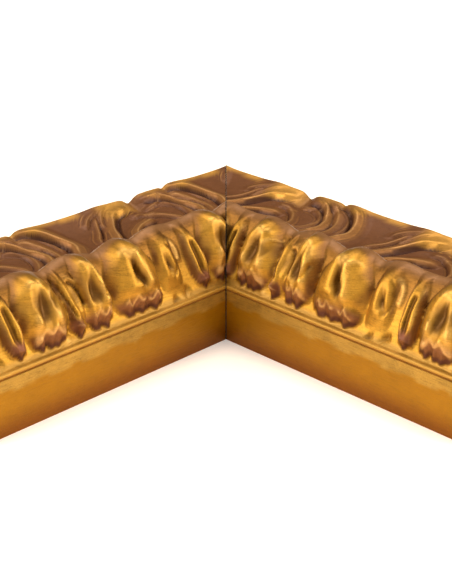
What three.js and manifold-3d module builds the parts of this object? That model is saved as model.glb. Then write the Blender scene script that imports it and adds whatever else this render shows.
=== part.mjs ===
// A mitred corner of carved and gilded frame moulding, lying on its back.
// Two lengths of one moulding meet at the mitre. From the inner side outwards each has a plain side,
// a groove and a bead, a narrow ledge, a row of carved pods that lean on the crest, a wide scoop
// crossed by swept folds, and a low wavy outer edge.
// Millimetres, Z up. The origin is under the middle of the footprint, on the underside.
import * as THREE from "three";
import { mergeVertices } from "three/addons/utils/BufferGeometryUtils.js";
import Module from "manifold-3d";

// Lengths and joint
const INNER_LENGTH = 100; // each rail along its inner side, from the corner to the square cut
const RAIL_WIDTH = 90;
const MITRE_GAP = 0.3; // between the two mitred faces
const REPEAT = 76; // length after which the carving starts again
const LEFT_START = 4.1; // how far into the repeat the inner corner falls on the left rail
const RIGHT_START = 1.9; // the same on the right rail

// Section, as distances from the inner side and heights over the underside
const SIDE_HEIGHT = 18.3;
const GROOVE_WIDTH = 0.5;
const GROOVE_DEPTH = 0.45;
const BEAD_WIDTH = 1.1;
const BEAD_HEIGHT = 1.2;
const LEDGE_DROP = 0.5; // from the top of the bead down to the ledge
const LEDGE_BACK = 2.6; // where the front starts to slope up to the crest
const CREST_BACK = 18.5;
const CREST_HEIGHT = 40.6;
const SLOPE_FOOT = [8.2, 23.8]; // the two points, back and height, that bend the slope
const SLOPE_SHOULDER = [10.8, 39.8];
const SCOOP_FRONT = 19.5; // where the paths of the folds are measured from
const FOLDS_BACK = 44; // where the folds start to rise out of the back of the crest
const FLOOR_BACK = 69;
const FLOOR_HEIGHT = 15.5;
const EDGE_HEIGHT = 20.6;
const EDGE_ROUND = 1.4; // radius between the outer edge and the outer side

// Carving
const CARVING_DEPTH = 6.6; // how far the fullest pod stands off its ground
const FOLD_HEIGHT = 2.5; // how far the tallest fold stands off the scoop
const COLUMN_STEP = 2.6; // faceting along the rail
const UNION = 5; // how sharply neighbouring pods run into one another
const FRONT_ROWS = 11;
const SLOPE_ROWS = 4; // on the bare back of the crest
const SCOOP_ROWS = 15; // over the folds

const BEAD_TOP = SIDE_HEIGHT + GROOVE_WIDTH + BEAD_HEIGHT;
const LEDGE_HEIGHT = BEAD_TOP - LEDGE_DROP;
const LEDGE_FRONT = BEAD_WIDTH + GROOVE_WIDTH;
const OUTER_LENGTH = INNER_LENGTH + RAIL_WIDTH;

// The pods of one repeat. Places and half widths are hundredths of the repeat, foot and stand are
// shares of the carving depth at the foot and at the belly, and full, fade and end are shares of the
// way from the ledge up to the crest.
const PODS = [
  { low: -2.2, top: -5.2, half: 4.8, foot: 0.4, stand: 0.6, full: 0.16, fade: 0.4, end: 1.04 },
  { low: 13.4, top: 11.4, half: 12.0, foot: 0.35, stand: 0.92, full: 0.36, fade: 0.6, end: 1.04 },
  { low: 27.4, top: 24.6, half: 3.4, foot: 0.4, stand: 0.56, full: 0.16, fade: 0.34, end: 1.0 },
  { low: 28.8, top: 29.0, half: 5.6, foot: 0, stand: 0.55, full: 0.36, fade: 0.44, end: 0.84 },
  { low: 39.6, top: 38.0, half: 7.8, foot: 0.35, stand: 0.88, full: 0.36, fade: 0.6, end: 1.06 },
  { low: 61.6, top: 59.6, half: 13.4, foot: 0.35, stand: 1.0, full: 0.38, fade: 0.62, end: 1.04 },
  { low: 81.0, top: 80.6, half: 6.4, foot: 0, stand: 0.44, full: 0.46, fade: 0.58, end: 0.95 },
];

// The dished hollows in the pods: place and half width in hundredths of the repeat, height and half
// height as shares of the way up, and depth as a share of the carving depth.
const DISHES = [
  { at: 12.2, up: 0.51, half: 3.3, tall: 0.18, deep: 0.34 },
  { at: 28.9, up: 0.5, half: 2.6, tall: 0.14, deep: 0.24 },
  { at: 37.1, up: 0.51, half: 2.7, tall: 0.16, deep: 0.34 },
  { at: 60.6, up: 0.51, half: 2.7, tall: 0.18, deep: 0.4 },
  { at: 80.8, up: 0.51, half: 2.4, tall: 0.14, deep: 0.24 },
];

// The folds of the scoop. Each runs through a few points, given as hundredths of the repeat along
// the rail and as a share of the way from the front of the scoop to the outer edge. Width is in
// millimetres, and tall is a share of the fold height.
const FOLDS = [
  { width: 3.2, tall: 1.0, path: [[72, 1], [80.5, 0.965], [88.5, 0.9], [93, 0.79], [93, 0.7], [88, 0.56]] },
  { width: 3.2, tall: 0.75, path: [[62, 0.99], [73, 0.935], [80, 0.84], [82.5, 0.76], [82, 0.69], [76, 0.55]] },
  { width: 3.0, tall: 0.7, path: [[54, 0.97], [66, 0.915], [73, 0.83], [76, 0.77], [76, 0.69], [70, 0.55]] },
  { width: 3.0, tall: 0.6, path: [[57, 0.9], [67, 0.845], [70, 0.79], [70, 0.74], [68, 0.67], [61, 0.54]] },
  { width: 2.8, tall: 0.45, path: [[45, 0.845], [53, 0.79], [60, 0.69], [60, 0.6]] },
  { width: 3.0, tall: 0.8, path: [[14, 0.58], [18.5, 0.69], [21.5, 0.75], [29, 0.855], [36, 0.9], [43, 0.94]] },
  { width: 3.0, tall: 0.7, path: [[22, 0.54], [29.5, 0.66], [35, 0.7], [41, 0.725], [48, 0.77]] },
];

// Rises and dips of the outer edge: place and reach in hundredths of the repeat, rise in millimetres.
const EDGE_WAVES = [
  { at: 27, reach: 8, rise: 0.5 },
  { at: 49.5, reach: 4.5, rise: -2.4 },
  { at: 73.5, reach: 2.2, rise: -1.0 },
  { at: 85, reach: 9, rise: 0.4 },
];

// The same of the crest.
const CREST_WAVES = [
  { at: 9, reach: 7, rise: 0.8 },
  { at: 22, reach: 4.5, rise: -1.5 },
  { at: 34.5, reach: 5, rise: 0.9 },
  { at: 50, reach: 5, rise: -1.6 },
  { at: 61, reach: 5, rise: 0.9 },
  { at: 71.5, reach: 4, rise: -1.3 },
  { at: 83, reach: 6, rise: 0.9 },
];

const mix = (a, b, t) => a + (b - a) * t;
const clamp = (x) => Math.min(1, Math.max(0, x));

function smooth(from, to, x) {
  const t = clamp((x - from) / (to - from));
  return t * t * (3 - 2 * t);
}

// The shorter way round from one place in the repeat to another, as a share of the repeat.
const around = (from, to) => ((((to - from + 0.5) % 1) + 1) % 1) - 0.5;

// How far the pods stand off the ground at a place in the repeat, a share of the way up.
function podStand(place, up) {
  let stand = 0;
  for (const pod of PODS) {
    const centre = mix(pod.low, pod.top, up) / 100;
    const half = (pod.half / 100) * mix(0.6, 1.08, smooth(0, 0.38, up)) * mix(1, 0.55, smooth(0.45, 0.95, up));
    const off = around(centre, place) / half;
    const height = mix(pod.foot, pod.stand, smooth(0, pod.full, up)) * (1 - smooth(pod.fade, pod.end, up));
    stand += Math.pow(height * Math.pow(clamp(1 - off * off), 1.1), UNION);
  }
  return CARVING_DEPTH * Math.pow(stand, 1 / UNION);
}

function dishDepth(place, up) {
  let depth = 0;
  for (const dish of DISHES) {
    const across = around(dish.at / 100, place) / (dish.half / 100);
    const along = (up - dish.up) / dish.tall;
    depth += dish.deep * CARVING_DEPTH * Math.exp(-Math.pow(across * across + along * along, 1.5));
  }
  return depth;
}

function waveOf(waves, place) {
  let rise = 0;
  for (const wave of waves) {
    const off = around(wave.at / 100, place) / (wave.reach / 100);
    rise += wave.rise * Math.exp(-off * off);
  }
  return rise;
}

// The ground of the front, a bent slope from the ledge up to the crest.
const slope = new THREE.CubicBezierCurve(
  new THREE.Vector2(LEDGE_BACK, LEDGE_HEIGHT),
  new THREE.Vector2(...SLOPE_FOOT),
  new THREE.Vector2(...SLOPE_SHOULDER),
  new THREE.Vector2(CREST_BACK, CREST_HEIGHT),
);

// The carved front: the slope, pushed out square to itself by the pods.
function frontPoint(place, up) {
  const ground = slope.getPoint(up);
  const run = slope.getTangent(up);
  const stand = podStand(place, up) - dishDepth(place, up);
  const crest = waveOf(CREST_WAVES, place) * smooth(0.55, 1, up);
  return [Math.max(LEDGE_FRONT, ground.x - stand * run.y), ground.y + stand * run.x + crest];
}

function foldHeight(place, back) {
  const along = place * REPEAT;
  let rise = 0;
  for (const fold of FOLDS) {
    const points = fold.curve;
    let best = Infinity;
    let at = 0;
    for (let i = 0; i + 1 < points.length; i++) {
      const a = points[i];
      const b = points[i + 1];
      const x = around(a.x / REPEAT, along / REPEAT) * REPEAT;
      const y = back - a.y;
      const t = clamp((x * (b.x - a.x) + y * (b.y - a.y)) / a.distanceToSquared(b));
      const gap = Math.hypot(x - t * (b.x - a.x), y - t * (b.y - a.y));
      if (gap < best) {
        best = gap;
        at = (i + t) / (points.length - 1);
      }
    }
    const taper = Math.min(1, 0.25 + 5 * Math.min(at, 1 - at));
    const off = best / fold.width;
    const full = fold.tall * FOLD_HEIGHT * taper;
    rise = Math.max(rise, full * Math.pow(clamp(1 - off * off), 1.2));
  }
  return rise;
}

// The scoop: down from the crest to its floor, then gently up to the outer edge.
function scoopPoint(place, back) {
  const down = clamp((back - CREST_BACK) / (FLOOR_BACK - CREST_BACK));
  const up = Math.max(0, (back - FLOOR_BACK) / (RAIL_WIDTH - EDGE_ROUND - FLOOR_BACK));
  const ground = mix(CREST_HEIGHT, FLOOR_HEIGHT, 0.5 - 0.5 * Math.cos(Math.PI * Math.pow(down, 0.6)));
  const lip = (EDGE_HEIGHT - FLOOR_HEIGHT) * up * up;
  const settle = smooth(FOLDS_BACK, FOLDS_BACK + 10, back) * mix(1, 0.3, smooth(0.8, 1, up));
  const edge = waveOf(EDGE_WAVES, place) * smooth(0, 1, up);
  const crest = waveOf(CREST_WAVES, place) * (1 - smooth(0, 0.45, down));
  return [back, ground + lip + foldHeight(place, back) * settle + edge + crest];
}

// The section at one place in the repeat, from the inner corner of the underside round to the outer.
function section(place) {
  const points = [
    [0, 0],
    [0, SIDE_HEIGHT],
    [GROOVE_DEPTH, SIDE_HEIGHT + GROOVE_WIDTH / 2],
    [0, SIDE_HEIGHT + GROOVE_WIDTH],
    [0, BEAD_TOP - BEAD_HEIGHT / 3],
    [BEAD_WIDTH / 3, BEAD_TOP],
    [BEAD_WIDTH, BEAD_TOP],
    [LEDGE_FRONT, LEDGE_HEIGHT],
  ];
  for (let i = 0; i <= FRONT_ROWS; i++) points.push(frontPoint(place, i / FRONT_ROWS));
  const outer = RAIL_WIDTH - EDGE_ROUND;
  for (let i = 1; i <= SLOPE_ROWS; i++) {
    points.push(scoopPoint(place, mix(CREST_BACK, FOLDS_BACK, i / SLOPE_ROWS)));
  }
  for (let i = 1; i <= SCOOP_ROWS; i++) {
    points.push(scoopPoint(place, mix(FOLDS_BACK, outer, i / SCOOP_ROWS)));
  }
  const lip = points[points.length - 1][1];
  for (const turn of [Math.PI / 4, Math.PI / 2]) {
    points.push([outer + EDGE_ROUND * Math.sin(turn), lip - EDGE_ROUND * (1 - Math.cos(turn))]);
  }
  points.push([RAIL_WIDTH, 0]);
  return points;
}

// One length of moulding along X, with its inner side on Y = 0.
function stick(from, to, start) {
  const columns = Math.ceil((to - from) / COLUMN_STEP);
  const position = [];
  const index = [];
  let rows = 0;
  for (let j = 0; j <= columns; j++) {
    const x = mix(from, to, j / columns);
    const place = (x + start) / REPEAT;
    const points = section(place - Math.floor(place));
    rows = points.length;
    for (const [back, height] of points) position.push(x, back, height);
  }
  for (let j = 0; j < columns; j++) {
    for (let i = 0; i < rows; i++) {
      const a = j * rows + i;
      const b = j * rows + ((i + 1) % rows);
      index.push(a, a + rows, b, b, a + rows, b + rows);
    }
  }
  for (const j of [0, columns]) {
    const outline = [];
    for (let i = 0; i < rows; i++) {
      const k = 3 * (j * rows + i);
      outline.push(new THREE.Vector2(position[k + 1], position[k + 2]));
    }
    for (const [a, b, c] of THREE.ShapeUtils.triangulateShape(outline, [])) {
      const turn = THREE.ShapeUtils.area([outline[a], outline[b], outline[c]]) > 0;
      const face = turn === (j > 0) ? [a, b, c] : [c, b, a];
      index.push(...face.map((i) => j * rows + i));
    }
  }
  const geometry = new THREE.BufferGeometry();
  geometry.setAttribute("position", new THREE.Float32BufferAttribute(position, 3));
  geometry.setIndex(index);
  return geometry;
}

const wasm = await Module();
wasm.setup();

function solid(geometry) {
  const bare = geometry.clone();
  bare.deleteAttribute("normal");
  bare.deleteAttribute("uv");
  const merged = mergeVertices(bare, 1e-4);
  return new wasm.Manifold(
    new wasm.Mesh({
      numProp: 3,
      vertProperties: new Float32Array(merged.attributes.position.array),
      triVerts: new Uint32Array(merged.index.array),
    }),
  );
}

function geometryOf(body) {
  const mesh = body.getMesh();
  const geometry = new THREE.BufferGeometry();
  geometry.setAttribute("position", new THREE.BufferAttribute(mesh.vertProperties, 3));
  geometry.setIndex(new THREE.BufferAttribute(mesh.triVerts, 1));
  geometry.computeVertexNormals();
  return geometry;
}

// The block that the mitre saw takes away: all that lies past the diagonal on the given side of it.
function mitreWaste(side) {
  const size = 4 * OUTER_LENGTH;
  const block = new THREE.BoxGeometry(size, size, size);
  block.translate((side * (size - MITRE_GAP)) / 2, 0, 0);
  block.rotateZ((side * Math.PI) / -4);
  return block;
}

for (const fold of FOLDS) {
  const points = fold.path.map(
    ([along, share]) => new THREE.Vector2((along / 100) * REPEAT, mix(SCOOP_FRONT, RAIL_WIDTH, share)),
  );
  fold.curve = new THREE.SplineCurve(points).getPoints(6 * points.length);
}

const gold = new THREE.MeshStandardMaterial({ color: 0xc8923c, roughness: 0.38, metalness: 0.85 });

function rail(name, from, to, start, wasteSide) {
  const body = solid(stick(from, to, start)).subtract(solid(mitreWaste(wasteSide)));
  const mesh = new THREE.Mesh(geometryOf(body), gold);
  mesh.name = name;
  return mesh;
}

const rightRail = rail("right_rail", -RAIL_WIDTH, INNER_LENGTH, RIGHT_START, -1);

const leftRail = rail("left_rail", -INNER_LENGTH, RAIL_WIDTH, LEFT_START, 1);
leftRail.rotation.z = Math.PI / 2;

const corner = new THREE.Group();
corner.name = "frame_corner";
corner.add(rightRail, leftRail);
corner.position.set(RAIL_WIDTH - OUTER_LENGTH / 2, OUTER_LENGTH / 2 - RAIL_WIDTH, 0);

export default corner;
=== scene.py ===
# The looks of a mitred corner of carved and gilded frame moulding.
# Both rails are cut from one moulding, so one set of functions carves them and a start in the repeat
# tells them apart. Sizes are in millimetres and become metres where the meshes are made.
# Place is the share of the repeat along a rail, back the distance from the rail's inner side, height
# the distance over the floor, and up the share of the way from the ledge to the crest.
import math

import bmesh
import bpy
import numpy as np
from mathutils import Matrix, Vector


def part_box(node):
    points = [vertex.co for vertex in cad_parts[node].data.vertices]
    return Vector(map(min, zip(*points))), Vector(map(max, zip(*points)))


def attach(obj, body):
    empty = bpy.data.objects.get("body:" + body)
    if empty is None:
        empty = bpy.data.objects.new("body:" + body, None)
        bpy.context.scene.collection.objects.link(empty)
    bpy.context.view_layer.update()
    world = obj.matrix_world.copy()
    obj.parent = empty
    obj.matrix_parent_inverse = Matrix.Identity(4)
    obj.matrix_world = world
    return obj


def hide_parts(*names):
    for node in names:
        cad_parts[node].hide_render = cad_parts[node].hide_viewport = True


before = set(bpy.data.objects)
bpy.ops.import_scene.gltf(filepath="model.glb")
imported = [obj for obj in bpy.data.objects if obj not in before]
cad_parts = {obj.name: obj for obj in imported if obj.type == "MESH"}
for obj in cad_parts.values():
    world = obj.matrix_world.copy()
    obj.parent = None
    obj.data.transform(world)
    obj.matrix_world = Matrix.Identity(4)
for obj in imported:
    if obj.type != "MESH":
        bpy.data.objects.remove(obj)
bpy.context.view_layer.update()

MM = 0.001
TURN = 2 * math.pi
FAR = 1e9

# The repeat of the carving, and how far into it each rail is at the inner corner
REPEAT = 76.0
LEFT_START = 4.1
RIGHT_START = 1.9

# The inner side with its groove and bead, and the ledge behind the bead. The bead goes round from the
# first turn to the second, in degrees. The dip behind it is told from the bead and the ledge.
SIDE_HEIGHT = 18.3
GROOVE_WIDTH = 0.5
GROOVE_DEPTH = 0.45
GROOVE_FOOT = 0.12
GROOVE_HEAD = 0.1
BEAD_WIDTH = 1.1
BEAD_HEIGHT = 1.2
BEAD_TURN = (240, -50)
LEDGE_DROP = 0.5
LEDGE_BACK = 2.6
DIP_BY_BEAD = (0.15, -0.25)
DIP_BY_LEDGE = (-0.1, -0.2)
BEAD_TOP = SIDE_HEIGHT + GROOVE_WIDTH + BEAD_HEIGHT
LEDGE_HEIGHT = BEAD_TOP - LEDGE_DROP
LEDGE_FRONT = BEAD_WIDTH + GROOVE_WIDTH

# The front, a curve from the ledge to the crest that two points draw out, as back and height, its
# length, and how near to the inner side a pod may come
SLOPE_FOOT = (8.2, 23.8)
SLOPE_SHOULDER = (10.8, 39.6)
CREST_BACK = 18.5
CREST_HEIGHT = 40.4
FRONT_LENGTH = 27.0
OVERHANG_BACK = 0.3

# The scoop behind the crest, how its drop bends, and the outer edge
SCOOP_FRONT = 19.5
FOLDS_BACK = 44.0
FOLDS_SETTLE = 10.0
FLOOR_BACK = 69.0
FLOOR_HEIGHT = 15.5
SCOOP_BEND = 0.6
EDGE_HEIGHT = 20.6
EDGE_ROUND = 1.4

# The carving: depth of the pods, reach of the claws, and how tightly the two are joined
CARVING_DEPTH = 6.6
TOE_REACH = 3.6
TOE_START = 0.02
UNION = 5.0

# Half width of a pod at its foot, belly and top, as shares of its own
POD_FOOT = 0.6
POD_BELLY = 1.08
POD_TOP = 0.55

# A claw's half width at its tip and where it ends and its rise there, as shares of its own, its lean
# in hundredths of the repeat, and the curve and rise of its tip as shares of the way up
TOE_TIP = 0.6
TOE_SPREAD = 1.3
TOE_SWELL = 1.6
TOE_LEAN = 3
TIP_CURVE = 0.06
TIP_CURVE_LIMIT = 1.5
TIP_RISE = 0.15

# Sections of pods and claws: how square they are and how softly they meet the ground
POD_SECTION = dict(square=2.6, soft=1.15)
TOE_SECTION = dict(square=1.6, soft=1.1)

# The folds: height, the rounding of their tops, the painted highlight line along them, their steep and
# long flanks as shares of their width, and the cut under the steep flank, painted as shade, as shares of
# height and width
FOLD_HEIGHT = 2.5
FOLD_ROUND = 0.6
RIDGE_LINE = 0.45
FOLD_STEEP = 0.65
FOLD_LONG = 2.4
FOLD_CUT = 0.55
FOLD_CUT_PLACE = 0.75
FOLD_CUT_HALF = 0.3

# The streaks beside the folds: two waves in radians a mm, their reach, their limit and their height
STREAK_COARSE = 4.5
STREAK_FINE = 7.3
STREAK_REACH = 3.5
STREAK_LIMIT = 1.5
STREAK_HEIGHT = 0.04

# Half widths of the strokes and cuts as shares of their widths
STROKE_HALF = 0.75
CUT_HALF = 0.7

# The frame gives the lengths
right_low, right_high = (np.array(corner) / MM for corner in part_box("right_rail"))
INNER_CORNER = (-right_low[1], right_low[1])
RAIL_WIDTH = right_high[1] - right_low[1]
INNER_LENGTH = right_high[0] - INNER_CORNER[0]
OUTER_BACK = RAIL_WIDTH - EDGE_ROUND

# Fineness of the carved mesh, the hairline at the mitre and where shading breaks
COLUMN_STEP = 0.42
SIDE_ROWS = 18
BEAD_POINTS = 12
LEDGE_ROWS = 8
FRONT_ROWS = 84
SLOPE_ROWS = 26
SCOOP_ROWS = 104
ROUND_ROWS = 6
OUTER_ROWS = 5
JOINT_LINE = 0.01
SHARP_ANGLE = 0.9

# The pods of one repeat: place low and at the top and half width in hundredths of it, how far they
# stand off as a share, and the shares of the way up where they are full, begin to fade and end
PODS = [
    dict(low=-2.2, top=-5.2, half=4.6, stand=0.6, full=0.16, fade=0.4, end=1.04),
    dict(low=13.4, top=11.4, half=11.6, stand=0.92, full=0.38, fade=0.6, end=1.04),
    dict(low=27.4, top=24.6, half=3.0, stand=0.56, full=0.16, fade=0.34, end=1.0),
    dict(low=28.8, top=29.0, half=5.4, stand=0.55, full=0.36, fade=0.44, end=0.84),
    dict(low=39.6, top=38.0, half=7.6, stand=0.88, full=0.38, fade=0.6, end=1.06),
    dict(low=61.6, top=59.6, half=13.2, stand=1.0, full=0.4, fade=0.62, end=1.04),
    dict(low=81.0, top=80.6, half=6.2, stand=0.44, full=0.46, fade=0.58, end=0.95),
]

# Hollows in the pods and dips by the ledge: place, half width and lean over the whole way up in
# hundredths of the repeat, level and reach as shares of the way up, and depth as a share
DISHES = [
    dict(at=12.4, up=0.5, half=4.4, tall=0.2, deep=0.14, lean=-4.0),
    dict(at=11.4, up=0.49, half=2.7, tall=0.15, deep=0.24, lean=-7.0),
    dict(at=17.8, up=0.56, half=3.0, tall=0.08, deep=0.17, lean=8.0),
    dict(at=4.6, up=0.542, half=3.0, tall=0.09, deep=0.09, lean=0.0),
    dict(at=22.6, up=0.564, half=3.5, tall=0.1, deep=0.09, lean=0.0),
    dict(at=29.8, up=0.5, half=2.6, tall=0.13, deep=0.2, lean=-6.0),
    dict(at=37.2, up=0.5, half=3.0, tall=0.18, deep=0.16, lean=-4.0),
    dict(at=37.4, up=0.5, half=2.2, tall=0.14, deep=0.24, lean=-5.0),
    dict(at=60.6, up=0.52, half=3.6, tall=0.2, deep=0.15, lean=-6.0),
    dict(at=60.6, up=0.5, half=1.7, tall=0.14, deep=0.34, lean=-8.0),
    dict(at=80.8, up=0.5, half=2.8, tall=0.16, deep=0.12, lean=-3.0),
    dict(at=81.6, up=0.48, half=1.3, tall=0.1, deep=0.18, lean=-8.0),
    dict(at=87.2, up=0.093, half=1.6, tall=0.05, deep=0.18, lean=6.0),
    dict(at=80.0, up=0.021, half=1.9, tall=0.05, deep=0.18, lean=6.0),
]

# Lips, lines and crumples on the front: width and rise in mm, and a path in hundredths of the repeat
# and shares of the way up
STROKES = [
    # rims round the hollows
    (2.6, 0.25, [(3, 0.62), (6, 0.7), (10, 0.72), (13, 0.66), (16, 0.54), (17.4, 0.42), (18, 0.3)]),
    (1.8, 0.2, [(7.8, 0.5), (8.4, 0.4), (10.4, 0.31), (13.4, 0.27), (16.4, 0.3)]),
    (2.4, 0.25, [(34, 0.66), (36.6, 0.72), (39.4, 0.68), (41, 0.56), (42, 0.42), (42.6, 0.3)]),
    (1.6, 0.2, [(34.4, 0.5), (34.8, 0.38), (37, 0.32), (39.8, 0.34)]),
    (1.6, 0.15, [(79, 0.66), (77.6, 0.56), (77.4, 0.46), (78.4, 0.38), (80.8, 0.33), (83.2, 0.36)]),
    (3.4, 0.35, [(55, 0.66), (58, 0.72), (61.6, 0.66), (64, 0.54), (65.6, 0.4), (66.6, 0.28)]),
    # lips running down to the feet
    (2.1, 0.42, [(16.8, 0.473), (17.8, 0.35), (19.2, 0.229), (20.4, 0.093), (21, 0.021)]),
    (1.95, 0.42, [(7.8, 0.473), (6.8, 0.35), (6, 0.229), (5.6, 0.093)]),
    (1.8, 0.34, [(40.8, 0.542), (42.4, 0.4), (43.4, 0.277), (44, 0.138)]),
    (1.35, 0.42, [(94.6, 0.766), (93.0, 0.651), (92.9, 0.498), (93.0, 0.326), (94, 0.183), (96.0, 0.063)]),
    (1.35, 0.42, [(97.6, 0.766), (98.4, 0.651), (98.8, 0.521), (99.5, 0.35), (100, 0.206), (99.6, 0.063)]),
    (1.3, -1.2, [(96.0, 0.651), (95.9, 0.521), (96.1, 0.375), (96.7, 0.24), (97.5, 0.138)]),
    # thin leaf between the two pods, with a line down its middle
    (0.6, -0.8, [(22.9, 0.84), (23.5, 0.7), (24.4, 0.54), (25.4, 0.4), (26.4, 0.28)]),
    (0.8, -1.0, [(28.4, 0.66), (30.6, 0.62), (32, 0.54), (32.4, 0.44), (32, 0.38)]),
    (1.4, 0.25, [(27.2, 0.72), (30.2, 0.7), (33, 0.62), (34, 0.5), (33.8, 0.4)]),
    # slit and pit rims
    (0.8, -0.9, [(43, 0.575), (42.5, 0.485), (41.6, 0.4)]),
    (0.9, 0.42, [(42.4, 0.608), (41.6, 0.51), (40.8, 0.412)]),
    (0.9, 0.42, [(22.4, 0.723), (19, 0.683), (16.6, 0.629), (15.9, 0.553), (16.8, 0.498)]),
    (0.8, -0.5, [(82, 0.694), (84.8, 0.618), (85.8, 0.51), (85, 0.4), (82.4, 0.314)]),
    (1.5, 0.51, [(84, 0.749), (87.2, 0.672), (88.2, 0.564), (87.6, 0.449)]),
    # crumpled tops
    (1.2, 0.42, [(8, 0.714), (11, 0.749), (13, 0.714), (15, 0.749), (17, 0.714)]),
    (1.05, 0.42, [(54.6, 0.694), (57, 0.749), (59.4, 0.705), (62.6, 0.694), (66, 0.74), (69, 0.714)]),
    (1.2, 0.42, [(35, 0.784), (38.4, 0.766), (41, 0.705), (42.6, 0.597)]),
    # lips over the feet
    (1.1, 0.5, [(5, 0.24), (7, 0.19), (9.6, 0.27), (12.4, 0.22), (15, 0.28), (17.6, 0.2), (20, 0.2)]),
    (1.0, 0.5, [(33.8, 0.31), (35.6, 0.22), (37.4, 0.28), (39.4, 0.2), (41.6, 0.26), (43.8, 0.15)]),
    (1.1, 0.5, [(50.4, 0.16), (52.6, 0.25), (54.6, 0.18), (57.6, 0.27), (60, 0.2), (62.6, 0.25)]),
    (1.0, 0.5, [(62.6, 0.25), (65, 0.17), (67.4, 0.24), (69.4, 0.16), (71, 0.14)]),
    (0.9, 0.5, [(25.2, 0.22), (27, 0.17), (28.8, 0.15)]),
]

# Claws at the feet: place and half width in hundredths of the repeat, reach as a share and the share
# of the way up at which they end
TOES = [
    dict(at=97.6, half=3.0, reach=0.8, end=0.22),
    dict(at=7.4, half=3.4, reach=0.62, end=0.3),
    dict(at=15.0, half=7.0, reach=0.86, end=0.34),
    dict(at=27.0, half=3.0, reach=0.8, end=0.24),
    dict(at=35.4, half=4.0, reach=0.7, end=0.34),
    dict(at=41.4, half=3.8, reach=0.82, end=0.28),
    dict(at=53.4, half=5.2, reach=0.66, end=0.36),
    dict(at=61.0, half=5.4, reach=0.8, end=0.32),
    dict(at=68.4, half=4.8, reach=0.86, end=0.28),
]

# Folds in the scoop: width in mm, height as a share, the side of the steep flank, and a path in
# hundredths of the repeat and shares from the front of the scoop to the outer edge
FOLDS = [
    (2.4, 0.85, -1, [(72, 1), (80.5, 0.955), (88.5, 0.885), (93, 0.78), (93, 0.7), (88, 0.56)]),
    (2.2, 0.42, -1, [(62, 0.99), (73, 0.935), (80, 0.84), (82.5, 0.76), (82, 0.69), (76, 0.55)]),
    (2.6, 0.7, -1, [(54, 0.97), (66, 0.915), (73, 0.83), (75.5, 0.77), (76, 0.69), (70, 0.55)]),
    (1.8, 0.35, -1, [(57, 0.9), (67, 0.845), (70, 0.79), (70, 0.74), (68, 0.67), (61, 0.54)]),
    (1.6, 0.4, -1, [(45, 0.845), (53, 0.79), (60, 0.69), (60, 0.6)]),
    (1.0, 0.28, -1, [(70, 0.965), (82, 0.9), (87, 0.8), (87, 0.69)]),
    (2.2, 0.7, -1, [(14, 0.58), (18.5, 0.69), (21.5, 0.75), (29, 0.855), (36, 0.9), (43, 0.94)]),
    (2.0, 0.6, -1, [(22, 0.54), (29.5, 0.66), (35, 0.7), (41, 0.725), (48, 0.77)]),
    (1.2, 0.3, -1, [(39, 0.83), (45, 0.84), (50, 0.83), (56, 0.8)]),
    (1.0, 0.35, -1, [(8, 0.66), (10, 0.72), (13.5, 0.78), (17.5, 0.85), (22, 0.93)]),
    (0.9, 0.3, -1, [(11, 0.86), (15, 0.9), (20, 0.935), (26, 0.96)]),
    (0.9, 0.3, -1, [(19, 0.8), (21.5, 0.86), (26, 0.92), (31, 0.955)]),
    (0.8, 0.3, 1, [(53, 0.96), (59, 0.95), (64, 0.91), (59, 0.88), (51, 0.865)]),
]

# Cuts beside the folds, painted dark as shade: width and depth in mm, and a path as above
CUTS = [
    (1.3, 1.5, [(76, 0.945), (83, 0.9), (88.5, 0.82), (90.6, 0.72)]),
    (1.1, 1.3, [(54, 0.93), (60, 0.905), (66, 0.87), (70, 0.83)]),
    (1.0, 1.0, [(62, 0.955), (68, 0.925), (73, 0.885)]),
    (0.8, 0.8, [(79, 0.82), (80.6, 0.76), (80, 0.68)]),
    (1.1, 1.2, [(21, 0.71), (26, 0.79), (32, 0.85), (38, 0.89)]),
    (0.9, 0.9, [(28, 0.61), (34, 0.67), (41, 0.7)]),
    (0.8, 0.7, [(12, 0.72), (16, 0.79), (20, 0.86)]),
]

# The lower border of the leaf on the inner side: its height, and waves by place and reach in
# hundredths of the repeat and rise in mm
LEAF_LINE = 14.3
LEAF_WAVES = [
    dict(at=4, reach=3, rise=0.8),
    dict(at=12, reach=5, rise=-0.7),
    dict(at=21, reach=2, rise=0.9),
    dict(at=30, reach=6, rise=-0.5),
    dict(at=41, reach=3, rise=0.7),
    dict(at=52, reach=2.4, rise=-1.0),
    dict(at=60, reach=4, rise=0.6),
    dict(at=71, reach=3, rise=-0.8),
    dict(at=83, reach=5, rise=0.7),
    dict(at=92, reach=2, rise=-0.6),
]

# The outer edge's waves and notches, and the crest's waves over the pods, told in the same way
EDGE_WAVES = [
    dict(at=27, reach=8, rise=0.5),
    dict(at=49.5, reach=4.0, rise=-2.4),
    dict(at=73.5, reach=2.2, rise=-1.0),
    dict(at=85, reach=9, rise=0.4),
]
CREST_WAVES = [
    dict(at=9, reach=7, rise=0.8),
    dict(at=22, reach=4.5, rise=-1.5),
    dict(at=34.5, reach=5, rise=0.9),
    dict(at=50, reach=5, rise=-1.6),
    dict(at=61, reach=5, rise=0.9),
    dict(at=71.5, reach=4, rise=-1.3),
    dict(at=83, reach=6, rise=0.9),
]

# Where gold is left on the outer edge: place and reach in hundredths of the repeat, and the share
# of the rise to the edge at which it starts
EDGE_GILT = [
    dict(at=37, reach=11, start=0.6),
    dict(at=92, reach=12, start=0.88),
    dict(at=8, reach=7, start=0.84),
    dict(at=66, reach=12, start=0.92),
]
GILT_BORDER = 0.16

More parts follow.
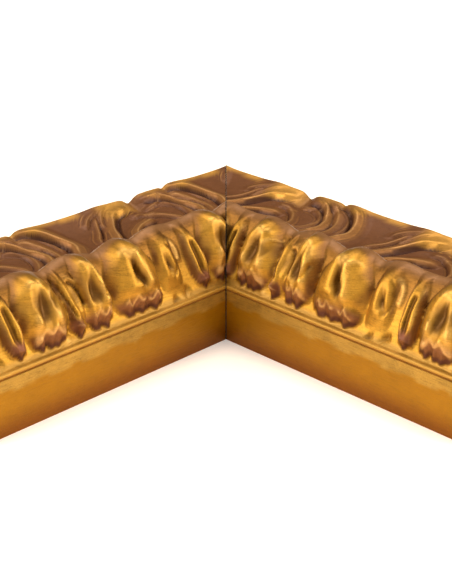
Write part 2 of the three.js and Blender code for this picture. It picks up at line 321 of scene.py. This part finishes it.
# Colours as they look in soft daylight, 0 to 255
GOLD = (182, 128, 40)
# Painted highlight: a brighter gold for the raised lips
HIGHLIGHT_GOLD = (232, 180, 96)
# Painted shade: dark olive for the hollows and the cut lines
OLIVE_SHADE = (88, 52, 2)
BOLE = (116, 64, 38)
# Painted shade: a darker bole for the undersides of the claws
BOLE_SHADE = (86, 46, 30)
# Painted highlight: a light bole for the lips over the feet
BOLE_HIGHLIGHT = (214, 156, 100)
EDGE_GOLD = (190, 134, 54)
TONED = (112, 68, 26)
CREST_BROWN = (126, 84, 46)
# Bole with painted shade, for the pods' steep flanks
FLANK_BOLE_AND_SHADE = (94, 54, 32)
SCOOP_BROWN = (98, 57, 26)
# Painted shade for the scoop's cuts, and the dark of its streaks
SCOOP_SHADE_AND_STREAK = (60, 30, 16)
# Painted highlight for the tops of the folds
SCOOP_HIGHLIGHT = (190, 138, 78)
# Ochre for the streaks, and a painted highlight on the raised folds
SCOOP_OCHRE_AND_HIGHLIGHT = (154, 102, 48)
SIDE_OCHRE = (152, 100, 2)
SIDE_LOW = (122, 66, 0)
BAND_GOLD = (168, 126, 50)
BEAD_GOLD = (174, 124, 42)
BEAD_LINE = (140, 88, 30)
LEDGE_GOLD = (178, 128, 48)

# Shine from 0 for bare bole to 1 for burnished leaf. The band's is added to the side's.
SIDE_SHINE = 0.6
BAND_SHINE = 0.25
GROOVE_SHINE = 0.2
BEAD_SHINE = 0.4
LEDGE_SHINE = 0.45
EDGE_SHINE = 0.6
OUTER_SHINE = 0.3

# The gilding: how metallic its leaf is, its gloss, its relief, and the width and tone of the dark line
# at the mitre
METAL = 0.75
SPECULAR = 0.2
LEAST_ROUGHNESS = 0.28
ADDED_ROUGHNESS = 0.32
BUMP_STRENGTH = 0.35
BUMP_DEPTH = 0.4
MITRE_LINE = (0.1, 0.45)
MITRE_TONE = 0.12

# Camera: its tilt, its distance from the inner corner, how far it is then moved up, and its lens, told
# by the focal length and the picture's long side in pixels
CAMERA_TILT = math.radians(24.1)
CAMERA_DISTANCE = 425.9
CAMERA_RISE = 16.25
FOCAL_PIXELS = 1240
LONG_SIDE_PIXELS = 584
SENSOR = 36

# Light and floor, in metres and watts. The soft boxes stand round the corner as the camera sees it.
WORLD_LIGHT = 0.1
FLOOR_HALF = 3.0
# Painted bounce light: a warm floor colour for the warm light the gilding throws onto the floor
FLOOR_BOUNCE_TINT = (0.96, 0.78, 0.6, 1)
FLOOR_ROUGHNESS = 0.6
FLOOR_GLOW = 0.3
WHITE = (1, 1, 1, 1)
SOFT_BOXES = [
    dict(name="right_box", right=0.88, forward=-0.12, height=0.47, size=1.0, power=15.5),
    dict(name="left_box", right=-0.88, forward=-0.12, height=0.47, size=1.0, power=16.5),
    dict(name="front_box", right=0.0, forward=-0.9, height=0.6, size=0.7, power=3),
    dict(name="overhead", right=0.0, forward=0.3, height=1.0, size=0.6, power=7),
]


def mix(a, b, t):
    return a + (b - a) * t


def smooth(start, end, x):
    """From 0 at the start to 1 at the end, with soft ends."""
    t = np.clip((x - start) / (end - start), 0, 1)
    return t * t * (3 - 2 * t)


def hump(x):
    """A soft hump, 1 at the middle and nearly gone two widths away."""
    return np.exp(-(x**2))


def bulge(off, square, soft):
    """Section of a rounded ridge, 1 at the middle and 0 from its half width on."""
    return np.clip(1 - np.abs(off) ** square, 0, 1) ** soft


def taper(at, ends, rate):
    """Thins a line out at its two ends, by the share that is left there and how fast it gains."""
    return np.minimum(1, ends + rate * np.minimum(at, 1 - at))


def stray(size, place, turns, other, other_turns, shift=0):
    """The unsteadiness of handwork, as a wave across the carving."""
    return size * np.sin(TURN * (turns * place + other_turns * other) + shift)


def around(start, place):
    """The shorter way round from one place in the repeat to another."""
    return (place - start + 0.5) % 1 - 0.5


def wave(waves, place):
    total = np.zeros_like(place)
    for one in waves:
        total += one["rise"] * hump(around(one["at"] / 100, place) / (one["reach"] / 100))
    return total


def spline(points, steps=6):
    """A smooth curve through the points, with an even number of steps between each two."""
    points = np.array(points, float)
    padded = np.vstack([points[0], points, points[-1]])
    curve = []
    for a, b, c, d in zip(padded, padded[1:], padded[2:], padded[3:]):
        bend = 2 * a - 5 * b + 4 * c - d
        twist = 3 * b - a - 3 * c + d
        for t in np.arange(steps) / steps:
            curve.append((2 * b + (c - a) * t + bend * t**2 + twist * t**3) / 2)
    curve.append(points[-1])
    return np.array(curve)


def front_line(path):
    return spline([(x / 100 * REPEAT, y * FRONT_LENGTH) for x, y in path])


def scoop_line(path):
    return spline([(x / 100 * REPEAT, mix(SCOOP_FRONT, RAIL_WIDTH, y)) for x, y in path])


def distance_to(curve, place, level):
    """Distance in mm to a line, the share of the way along it, and the side that a point is on."""
    best = np.full(place.shape, FAR)
    at = np.zeros(place.shape)
    side = np.zeros(place.shape)
    steps = len(curve) - 1
    for i, (a, b) in enumerate(zip(curve, curve[1:])):
        x = around(a[0] / REPEAT, place) * REPEAT
        y = level - a[1]
        dx, dy = b - a
        t = np.clip((x * dx + y * dy) / (dx * dx + dy * dy), 0, 1)
        gap = np.hypot(x - t * dx, y - t * dy)
        nearer = gap < best
        best = np.where(nearer, gap, best)
        at = np.where(nearer, (i + t) / steps, at)
        side = np.where(nearer, np.sign(dx * y - dy * x), side)
    return best, at, side


def pod_stand(place, up):
    """How far the pods stand off the ground."""
    stand = np.zeros(np.broadcast_shapes(place.shape, up.shape))
    for pod in PODS:
        centre = mix(pod["low"], pod["top"], up) / 100
        half = pod["half"] / 100 * mix(POD_FOOT, POD_BELLY, smooth(0, 0.38, up))
        half = half * mix(1, POD_TOP, smooth(0.45, 0.95, up))
        off = around(centre, place) / half
        height = pod["stand"] * smooth(0.08, pod["full"], up)
        height = CARVING_DEPTH * height * (1 - smooth(pod["fade"], pod["end"], up))
        stand += (height * bulge(off, **POD_SECTION)) ** UNION
    return stand ** (1 / UNION)


def toe_stand(place, up):
    """The claws at the feet, narrow and proud at the tip and running out up the pod."""
    stand = np.zeros(np.broadcast_shapes(place.shape, up.shape))
    for toe in TOES:
        half = toe["half"] / 100 * mix(TOE_TIP, TOE_SPREAD, smooth(TOE_START, 0.8 * toe["end"], up))
        off = around((toe["at"] - TOE_LEAN * (up - TOE_START)) / 100, place) / half
        rise = TOE_REACH * toe["reach"] * mix(1, TOE_SWELL, smooth(0, 1.3 * toe["end"], up))
        rise = rise * smooth(1.7 * toe["end"], 0.8 * toe["end"], up)
        tip = TOE_START + TIP_CURVE * np.minimum(off * off, TIP_CURVE_LIMIT)
        rise = rise * np.clip((up - tip) / TIP_RISE, 0, 1) ** 0.9
        stand += (rise * bulge(off, **TOE_SECTION)) ** UNION
    return stand ** (1 / UNION)


def dish_depth(place, up):
    """Depth of the hollows, which lean to one side as they go up."""
    depth = np.zeros(np.broadcast_shapes(place.shape, up.shape))
    for dish in DISHES:
        centre = (dish["at"] + dish["lean"] * (up - dish["up"])) / 100
        across = around(centre, place) / (dish["half"] / 100)
        along = (up - dish["up"]) / dish["tall"]
        depth += dish["deep"] * CARVING_DEPTH * np.exp(-(across * across + along * along))
    return depth


def stroke_rise(place, up):
    """Rise of the lips, lines and crumples."""
    total = np.zeros(np.broadcast_shapes(place.shape, up.shape))
    spread, level = np.broadcast_arrays(place, up * FRONT_LENGTH)
    for width, rise, path in STROKES:
        gap, at, _ = distance_to(front_line(path), spread, level)
        total += rise * taper(at, 0.15, 6) * hump(gap / width / STROKE_HALF)
    return total


def fold_height(place, back):
    """Rise of the folds, the cuts by them that are painted as shade, the streaks beside them and the line
    on their tops that is painted as a highlight.
    """
    rise, cut, streak, ridge = (np.zeros(place.shape) for _ in range(4))
    nearest = np.full(place.shape, FAR)
    for width, tall, steep_side, path in FOLDS:
        gap, at, side = distance_to(scoop_line(path), place, back)
        ends = taper(at, 0.2, 5)
        full = tall * FOLD_HEIGHT * ends
        steep = side * steep_side > 0
        ridge = np.maximum(ridge, tall**0.5 * ends * hump(gap / RIDGE_LINE))
        gap = np.hypot(gap, FOLD_ROUND) - FOLD_ROUND
        off = gap / width
        flank = off / np.where(steep, FOLD_STEEP, FOLD_LONG)
        bend = np.where(steep, np.clip(1 - flank * flank, 0, 1), np.clip(1 - flank, 0, 1) ** 1.3)
        rise = np.maximum(rise, full * bend)
        under = FOLD_CUT * full * hump((off - FOLD_CUT_PLACE) / FOLD_CUT_HALF)
        cut = np.maximum(cut, np.where(steep, under, 0))
        lines = np.sin(gap * STREAK_COARSE) + 0.7 * np.sin(gap * STREAK_FINE)
        lines = lines * ends * hump(gap / STREAK_REACH) * smooth(0.25, 0.6, off)
        nearest = np.minimum(nearest, gap)
        streak = np.where(gap <= nearest, lines, streak)
    for width, deep, path in CUTS:
        gap, at, _ = distance_to(scoop_line(path), place, back)
        cut = np.maximum(cut, deep * taper(at, 0, 4) * hump(gap / width / CUT_HALF))
    return rise, cut, np.clip(streak, -STREAK_LIMIT, STREAK_LIMIT), ridge


def slope(up):
    """The ground of the front, from the ledge up to the crest: back, height and its normal's lean."""
    low, high = (LEDGE_BACK, LEDGE_HEIGHT), (CREST_BACK, CREST_HEIGHT)
    a, b, c, d = np.array([low, SLOPE_FOOT, SLOPE_SHOULDER, high])
    t = up[..., None]
    down = 1 - t
    spot = down**3 * a + 3 * down**2 * t * b + 3 * down * t**2 * c + t**3 * d
    run = down**2 * (b - a) + 2 * down * t * (c - b) + t**2 * (d - c)
    return spot[..., 0], spot[..., 1], np.arctan2(run[..., 0], run[..., 1])


def front(place, ups):
    """The carved front: the slope from the ledge to the crest, pushed out by the pods."""
    place, up = place[None, :], ups[:, None]
    back, height, lean = slope(up)
    drift = place + stray(0.003, place, 5, up, 1.9) + stray(0.0015, place, 13, up, -3.1)
    ragged = up + stray(0.02, place, 11, up, 0.6) + stray(0.012, place, 27, up, -1.3, shift=1)
    pods = pod_stand(drift, up)
    toes = toe_stand(drift, ragged)
    dishes = dish_depth(drift + stray(0.004, place, 9, up, -2.3), ragged)
    strokes = stroke_rise(place, up)
    fade = 1 - smooth(0.88, 0.99, up)
    stand = (pods**UNION + toes**UNION) ** (1 / UNION) + (strokes - dishes) * fade
    height = height + stand * np.sin(lean) + wave(CREST_WAVES, place) * smooth(0.55, 1, up)
    over_bead = smooth(BEAD_TOP - 0.2, BEAD_TOP + 1.6, height)
    limit = mix(LEDGE_FRONT + 0.2, OVERHANG_BACK, over_bead)
    back = np.maximum(back - stand * np.cos(lean), limit)
    return back, height, dict(pods=pods, toes=toes, dishes=dishes, strokes=strokes, up=up + 0 * place)


def scoop(place, backs):
    """The scoop: down from the crest to its floor, then gently up to the outer edge."""
    spread, back = np.broadcast_arrays(place[None, :], backs[:, None])
    down = np.clip((back - CREST_BACK) / (FLOOR_BACK - CREST_BACK), 0, 1)
    edge = np.clip((back - FLOOR_BACK) / (OUTER_BACK - FLOOR_BACK), 0, None)
    ground = mix(CREST_HEIGHT, FLOOR_HEIGHT, 0.5 - 0.5 * np.cos(math.pi * down**SCOOP_BEND))
    lip = (EDGE_HEIGHT - FLOOR_HEIGHT) * edge * edge
    settle = smooth(FOLDS_BACK, FOLDS_BACK + FOLDS_SETTLE, back) * mix(1, 0.3, smooth(0.8, 1, edge))
    drift = spread + stray(0.005, spread, 4, back, 1 / 37)
    ragged = back + stray(0.35, spread, 6, back, 1 / 29)
    rise, cut, streak, ridge = fold_height(drift, ragged)
    height = ground + lip + (rise - cut + STREAK_HEIGHT * streak) * settle
    height = height + wave(EDGE_WAVES, place) * smooth(0, 1, edge)
    height = height + wave(CREST_WAVES, place) * (1 - smooth(0, 0.45, down))
    parts = dict(rise=rise, cut=cut, streak=streak, ridge=ridge)
    return back, height, {key: part * settle for key, part in parts.items()} | dict(edge=edge, down=down)


def linear(colour):
    """From a colour as a picture holds it to linear light."""
    c = np.array(colour) / 255
    return np.where(c <= 0.04045, c / 12.92, ((c + 0.055) / 1.055) ** 2.4)


def tint(colour, other, share):
    """A colour moved towards another by a share, point by point."""
    return colour + (linear(other) - colour) * np.clip(share, 0, 1)[..., None]


def front_paint(parts):
    """Gold on the pods with painted highlights on the lips, olive painted shade in the hollows and cut
    lines, bole on the claws with painted shade under their tips and painted highlights on their lips, bole
    and painted shade on the flanks, and a toned crest.
    """
    up, pods, toes, strokes = parts["up"], parts["pods"], parts["toes"], parts["strokes"]
    proud = smooth(0.5, 3.4, pods)
    steepness = np.abs(np.gradient(pods, axis=1)) / COLUMN_STEP
    flank = smooth(0.8, 1.5, steepness) * mix(1, 0.6, smooth(0.3, 0.55, up))
    brown = smooth(0.84, 1.0, up + 0.06 * (1 - proud))
    ledge = smooth(0.12, 0.04, up)
    foot = smooth(0.3, 1.2, toes) * smooth(0.32, 0.2, up)
    tip = smooth(0.15, 0.6, toes) * smooth(2.0, 1.2, toes) * smooth(0.2, 0.12, up)
    lipped = smooth(0.3, 0.6, strokes)
    colour = np.broadcast_to(linear(GOLD), up.shape + (3,))
    colour = tint(colour, TONED, (1 - proud) * smooth(0.3, 0.6, up) * 0.75)
    colour = tint(colour, LEDGE_GOLD, ledge)
    # Painted highlight: brighter gold on the raised lips, less on the steep flanks
    colour = tint(colour, HIGHLIGHT_GOLD, smooth(0.1, 0.6, strokes) * 0.35 * (1 - flank))
    # Painted shade: dark olive in the hollows and along the lines cut into the front
    colour = tint(colour, OLIVE_SHADE, smooth(0.3, 1.9, parts["dishes"]) * 0.95)
    colour = tint(colour, OLIVE_SHADE, smooth(0.15, 0.7, -strokes) * 0.95)
    # Bole on the pods' steep flanks, together with painted shade there
    colour = tint(colour, FLANK_BOLE_AND_SHADE, flank * smooth(0.06, 0.2, up) * 0.8)
    colour = tint(colour, TONED, smooth(0.7, 0.94, up) * 0.6)
    colour = tint(colour, BOLE, foot * (1 - 0.7 * lipped) * 0.85)
    # Painted shade: darker bole along the low edges of the claw tips, where their undersides face down
    colour = tint(colour, BOLE_SHADE, tip * 0.9)
    # Painted highlight: light bole on the lips over the feet
    colour = tint(colour, BOLE_HIGHLIGHT, foot * lipped * 0.4)
    colour = tint(colour, CREST_BROWN, brown * 0.85)
    shine = 1 - 0.6 * brown - 0.5 * foot - 0.4 * flank - 0.5 * ledge
    shine = shine - 0.4 * smooth(0.1, 0.8, parts["dishes"])
    return colour, np.clip(shine, 0, 1)


def scoop_paint(parts, place):
    """Brown in the scoop, ochre streaks and painted highlights along the folds, painted shade in the cuts,
    with gold left on the edge.
    """
    down, edge, rise, cut, streak = (parts[key] for key in ("down", "edge", "rise", "cut", "streak"))
    colour = np.broadcast_to(linear(SCOOP_BROWN), down.shape + (3,))
    colour = tint(colour, CREST_BROWN, 1 - smooth(0, 0.25, down))
    # Ochre stripes of the streaks, and a painted highlight where the folds rise
    colour = tint(colour, SCOOP_OCHRE_AND_HIGHLIGHT, smooth(0.3, 1.6, rise) * 0.6 + smooth(0.2, 1.0, streak) * 0.45)
    # Painted shade in the cuts, and the dark stripes of the streaks
    colour = tint(colour, SCOOP_SHADE_AND_STREAK, smooth(0.2, 0.7, cut) * 0.85 + smooth(0.3, 1.2, -streak) * 0.5)
    # Painted highlight along the tops of the folds
    colour = tint(colour, SCOOP_HIGHLIGHT, smooth(0.3, 0.9, parts["ridge"]) * 0.7)
    ragged = edge + 0.1 * rise + 0.08 * streak
    gilt = np.zeros(edge.shape)
    for one in EDGE_GILT:
        near = np.exp(-((around(one["at"] / 100, place) / (one["reach"] / 100)) ** 4))
        gilt = np.maximum(gilt, near * smooth(one["start"], one["start"] + GILT_BORDER, ragged))
    colour = tint(colour, EDGE_GOLD, gilt * 0.9)
    shine = 0.3 + 0.3 * smooth(0.4, 1.4, rise) + 0.3 * gilt
    return colour, np.clip(shine, 0, 1)


def painted(back, height, colour, shine):
    """Rows of one colour and one shine."""
    back, height = np.broadcast_arrays(back, height)
    return back, height, np.broadcast_to(linear(colour), back.shape + (3,)), np.full(back.shape, shine)


def flat_rows(points, columns, colour, shine):
    """Rows of one colour along the whole rail, from points as back and height."""
    back, height = (np.array(values)[:, None] + np.zeros(columns) for values in zip(*points))
    return painted(back, height, colour, shine)


def side_rows(place):
    """The plain inner side, with a ragged band of leaf along its top."""
    points = [(0, SIDE_HEIGHT * level) for level in np.linspace(0, 1, SIDE_ROWS + 1)]
    back, height, paint, shine = flat_rows(points, len(place), SIDE_OCHRE, SIDE_SHINE)
    leaf = smooth(-0.5, 0.5, height - LEAF_LINE - wave(LEAF_WAVES, place))
    paint = tint(paint, SIDE_LOW, smooth(0.55, 0, height / SIDE_HEIGHT))
    return back, height, tint(paint, BAND_GOLD, leaf), shine + BAND_SHINE * leaf


def bead_rows(columns):
    """The groove over the inner side, the bead, and the dip behind it."""
    bead_foot = SIDE_HEIGHT + GROOVE_WIDTH
    groove = [(GROOVE_DEPTH, SIDE_HEIGHT + GROOVE_FOOT), (GROOVE_DEPTH, bead_foot - GROOVE_HEAD)]
    bead = []
    for turn in np.radians(np.linspace(*BEAD_TURN, BEAD_POINTS)):
        out, up = 1 + math.cos(turn), 1 + math.sin(turn)
        bead.append((BEAD_WIDTH / 2 * out, bead_foot + BEAD_HEIGHT / 2 * up))
    dip = []
    for edge, (shift, rise) in ((BEAD_WIDTH, DIP_BY_BEAD), (LEDGE_FRONT, DIP_BY_LEDGE)):
        dip.append((edge + shift, LEDGE_HEIGHT + rise))
    return [
        flat_rows(groove, columns, BEAD_LINE, GROOVE_SHINE),
        flat_rows(bead, columns, BEAD_GOLD, BEAD_SHINE),
        flat_rows(dip, columns, TONED, GROOVE_SHINE),
    ]


def front_rows(place):
    """The ledge and the carved front."""
    back, height, parts = front(place, np.linspace(0, 1, FRONT_ROWS + 1))
    share = np.linspace(0, 1, LEDGE_ROWS + 1)[:-1, None]
    ledge = painted(mix(LEDGE_FRONT, back[0], share), LEDGE_HEIGHT, LEDGE_GOLD, LEDGE_SHINE)
    return [ledge, (back, height, *front_paint(parts))]


def scoop_rows(place):
    """The back of the crest, coarse as it is smooth, and the scoop with its folds."""
    crest = np.linspace(CREST_BACK, FOLDS_BACK, SLOPE_ROWS + 1)[1:]
    folded = np.linspace(FOLDS_BACK, OUTER_BACK, SCOOP_ROWS + 1)[1:]
    back, height, parts = scoop(place, np.concatenate([crest, folded]))
    return back, height, *scoop_paint(parts, place)


def outer_rows(lip, lip_paint):
    """The rounded outer edge, which carries on from the scoop's last row, and the outer side."""
    turn = np.linspace(0, math.pi / 2, ROUND_ROWS + 1)[1:, None]
    back = OUTER_BACK + EDGE_ROUND * np.sin(turn) + 0 * lip
    height = lip - EDGE_ROUND * (1 - np.cos(turn))
    paint = np.broadcast_to(lip_paint, back.shape + (3,))
    down = np.linspace(1, 0, OUTER_ROWS + 1)[1:, None]
    side = painted(RAIL_WIDTH, (lip - EDGE_ROUND) * down, SIDE_OCHRE, OUTER_SHINE)
    return [(back, height, paint, np.full(back.shape, EDGE_SHINE)), side]


def moulding(place):
    """Rows of back, height, paint and shine round the section, each along the whole rail."""
    scooped = scoop_rows(place)
    lip, lip_paint = scooped[1][-1], scooped[2][-1]
    bands = [side_rows(place), *bead_rows(len(place)), *front_rows(place), scooped]
    bands += outer_rows(lip, lip_paint)
    return [np.concatenate(part) for part in zip(*bands)]


def rail_mesh(name, start, hand):
    """The skin of one rail, uncut. Along runs to the right as seen from inside the corner."""
    low, high = (-RAIL_WIDTH, INNER_LENGTH) if hand > 0 else (-INNER_LENGTH, RAIL_WIDTH)
    columns = int(round((high - low) / COLUMN_STEP)) + 1
    along = np.linspace(low, high, columns)
    back, height, paint, shine = moulding((along + start) / REPEAT % 1)
    rows = len(back)
    spread = np.broadcast_to(along, back.shape)
    if hand > 0:
        x, y = INNER_CORNER[0] + spread, INNER_CORNER[1] + back
    else:
        x, y = INNER_CORNER[0] - back, INNER_CORNER[1] + spread
    points = np.stack([x, y, height], -1).reshape(-1, 3) * MM
    i, j = np.meshgrid(np.arange(rows), np.arange(columns - 1), indexing="ij")
    a = i * columns + j
    b = (i + 1) % rows * columns + j
    quads = np.stack([a, a + 1, b + 1, b], -1).reshape(-1, 4)
    mesh = bpy.data.meshes.new(name)
    mesh.from_pydata(points.tolist(), [], quads.tolist())
    colours = np.concatenate([paint, np.ones(paint.shape[:2] + (1,))], -1)
    mesh.attributes.new("paint", "FLOAT_COLOR", "POINT").data.foreach_set("color", colours.ravel())
    mesh.attributes.new("shine", "FLOAT", "POINT").data.foreach_set("value", shine.ravel())
    return mesh


def cut_mitre(mesh, hand):
    """Cuts the skin on the diagonal, closes both ends and marks the edges that stay sharp."""
    work = bmesh.new()
    work.from_mesh(mesh)
    corner = Vector((INNER_CORNER[0], INNER_CORNER[1], 0)) * MM
    normal = Vector((1, 1, 0)).normalized() * hand
    bmesh.ops.bisect_plane(
        work,
        geom=work.verts[:] + work.edges[:] + work.faces[:],
        dist=1e-7,
        plane_co=corner + normal * JOINT_LINE / 2 * MM,
        plane_no=-normal,
        clear_outer=True,
    )
    open_edges = [e for e in work.edges if len(e.link_faces) == 1]
    bmesh.ops.holes_fill(work, edges=open_edges, sides=0)
    bmesh.ops.recalc_face_normals(work, faces=work.faces)
    for edge in work.edges:
        edge.smooth = not (len(edge.link_faces) == 2 and edge.calc_face_angle() > SHARP_ANGLE)
    for face in work.faces:
        face.smooth = True
    work.to_mesh(mesh)
    work.free()


class Shading:
    """Short ways to add nodes to a material."""

    def __init__(self, material):
        material.use_nodes = True
        self.nodes = material.node_tree.nodes
        self.link = material.node_tree.links.new
        self.shader = self.nodes["Principled BSDF"]

    def node(self, kind, **values):
        """A new node, given its settings and the values of inputs by their names."""
        made = self.nodes.new(kind)
        for key, value in values.items():
            if hasattr(made, key):
                setattr(made, key, value)
            else:
                made.inputs[key].default_value = value
        return made

    def maths(self, operation, a, b=0.0):
        made = self.node("ShaderNodeMath", operation=operation)
        for socket, value in zip(made.inputs, (a, b)):
            if isinstance(value, (int, float)):
                socket.default_value = value
            else:
                self.link(value, socket)
        return made.outputs[0]

    def noise(self, place, scale, detail, roughness):
        made = self.node("ShaderNodeTexNoise", Scale=scale, Detail=detail, Roughness=roughness)
        self.link(place, made.inputs["Vector"])
        return made.outputs["Fac"]

    def ranged(self, value, start, end, low, high):
        """Low up to the start, high from the end on, and an even rise between them."""
        made = self.node("ShaderNodeMapRange")
        self.link(value, made.inputs["Value"])
        for key, level in (("From Min", start), ("From Max", end), ("To Min", low), ("To Max", high)):
            made.inputs[key].default_value = level
        return made.outputs["Result"]

    def scaled(self, colour, share):
        made = self.node("ShaderNodeVectorMath", operation="SCALE")
        self.link(colour, made.inputs[0])
        self.link(share, made.inputs["Scale"])
        return made.outputs[0]


def gilding():
    """Worn gold leaf over red-brown bole, toned brown, with brush marks and a fine crackle."""
    material = bpy.data.materials.new("gilding")
    tree = Shading(material)
    paint = tree.node("ShaderNodeAttribute", attribute_name="paint").outputs["Color"]
    shine = tree.node("ShaderNodeAttribute", attribute_name="shine").outputs["Fac"]
    place = tree.node("ShaderNodeTexCoord").outputs["Object"]
    stretch = tree.node("ShaderNodeVectorMath", operation="MULTIPLY")
    tree.link(place, stretch.inputs[0])
    stretch.inputs[1].default_value = (0.25, 0.25, 2.2)
    drawn_out = stretch.outputs[0]

    # Uneven tone of the leaf
    cloud = tree.noise(place, scale=140.0, detail=6.0, roughness=0.6)
    patch = tree.noise(place, scale=520.0, detail=4.0, roughness=0.7)
    brush = tree.noise(drawn_out, scale=900.0, detail=3.0, roughness=0.6)
    grain = tree.noise(place, scale=2400.0, detail=2.0, roughness=0.6)
    tone = tree.maths("MULTIPLY", cloud, 0.35)
    for noise, share in ((patch, 0.25), (brush, 0.2), (grain, 0.2)):
        tone = tree.maths("ADD", tone, tree.maths("MULTIPLY", noise, share))
    level = tree.ranged(tone, start=0.36, end=0.64, low=0.66, high=1.26)

    # Hairlines across the leaf
    hair = tree.noise(drawn_out, scale=380.0, detail=3.0, roughness=0.5)
    off = tree.maths("ABSOLUTE", tree.maths("SUBTRACT", hair, 0.5))
    thin = tree.ranged(off, start=0.0, end=0.018, low=0.7, high=1.0)

    # Bright leaf shows all of this, and bole and toned leaf less
    worn = tree.ranged(shine, start=0.6, end=0.8, low=0.45, high=1.0)
    uneven = tree.maths("SUBTRACT", tree.maths("MULTIPLY", level, thin), 1)
    uneven = tree.maths("MULTIPLY", uneven, worn)
    toned = tree.scaled(paint, tree.maths("ADD", uneven, 1))

    # Dark line where the rails meet
    spot = tree.node("ShaderNodeSeparateXYZ")
    tree.link(place, spot.inputs[0])
    across = tree.maths("ADD", spot.outputs["X"], spot.outputs["Y"])
    off = tree.maths("ABSOLUTE", tree.maths("SUBTRACT", across, sum(INNER_CORNER) * MM))
    start, end = (width * MM for width in MITRE_LINE)
    lined = tree.scaled(toned, tree.ranged(off, start, end, low=MITRE_TONE, high=1.0))

    # Brush marks and leaf edges in the surface
    relief = tree.maths("ADD", tone, tree.maths("MULTIPLY", brush, 0.6))
    bump = tree.node("ShaderNodeBump", Strength=BUMP_STRENGTH, Distance=BUMP_DEPTH * MM)
    tree.link(relief, bump.inputs["Height"])

    rough = tree.maths("ADD", tree.maths("MULTIPLY", patch, ADDED_ROUGHNESS), LEAST_ROUGHNESS)
    inputs = tree.shader.inputs
    tree.link(lined, inputs["Base Color"])
    tree.link(tree.maths("MULTIPLY", shine, METAL), inputs["Metallic"])
    inputs["Specular IOR Level"].default_value = SPECULAR
    tree.link(rough, inputs["Roughness"])
    tree.link(bump.outputs["Normal"], inputs["Normal"])
    return material


def add_to_scene(name, data):
    made = bpy.data.objects.new(name, data)
    bpy.context.scene.collection.objects.link(made)
    return made


def add_camera():
    level = math.sqrt(0.5) * math.cos(CAMERA_TILT)
    forward = Vector((-level, level, -math.sin(CAMERA_TILT)))
    right = Vector((math.sqrt(0.5), math.sqrt(0.5), 0))
    up = right.cross(forward)
    data = bpy.data.cameras.new("camera")
    data.sensor_width = SENSOR
    data.lens = FOCAL_PIXELS / LONG_SIDE_PIXELS * SENSOR
    camera = add_to_scene("camera", data)
    corner = Vector((INNER_CORNER[0], INNER_CORNER[1], 0))
    place = corner - forward * CAMERA_DISTANCE + up * CAMERA_RISE
    turned = Matrix((right, up, -forward)).transposed().to_4x4()
    camera.matrix_world = Matrix.Translation(place * MM) @ turned
    bpy.context.scene.camera = camera


def add_floor():
    mesh = bpy.data.meshes.new("floor")
    corners = [(x * FLOOR_HALF, y * FLOOR_HALF, 0) for x, y in ((-1, -1), (1, -1), (1, 1), (-1, 1))]
    mesh.from_pydata(corners, [], [(0, 1, 2, 3)])
    floor = add_to_scene("floor", mesh)
    material = bpy.data.materials.new("floor")
    material.use_nodes = True
    inputs = material.node_tree.nodes["Principled BSDF"].inputs
    # Warm colour as painted bounce light from the gilding
    inputs["Base Color"].default_value = FLOOR_BOUNCE_TINT
    inputs["Roughness"].default_value = FLOOR_ROUGHNESS
    inputs["Emission Color"].default_value = WHITE
    inputs["Emission Strength"].default_value = FLOOR_GLOW
    mesh.materials.append(material)


def add_soft_box(name, right, forward, height, size, power):
    """A square soft box that faces the corner."""
    data = bpy.data.lights.new(name, "AREA")
    data.size = size
    data.energy = power
    light = add_to_scene(name, data)
    place = Vector((right - forward, right + forward, 0)) * math.sqrt(0.5) + Vector((0, 0, height))
    light.location = place
    light.rotation_euler = (-place).to_track_quat("-Z", "Y").to_euler()


def add_world():
    world = bpy.data.worlds.new("studio")
    world.use_nodes = True
    inputs = world.node_tree.nodes["Background"].inputs
    inputs["Color"].default_value = WHITE
    inputs["Strength"].default_value = WORLD_LIGHT
    bpy.context.scene.world = world


add_camera()
add_floor()
add_world()
for soft_box in SOFT_BOXES:
    add_soft_box(**soft_box)
bpy.context.scene.view_settings.view_transform = "Standard"

gold = gilding()
for name, start, hand in (("right_rail", RIGHT_START, 1), ("left_rail", LEFT_START, -1)):
    mesh = rail_mesh(name + "_carved", start, hand)
    cut_mitre(mesh, hand)
    mesh.materials.append(gold)
    rail = add_to_scene(name + "_carved", mesh)
    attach(rail, "root")
    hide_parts(name)
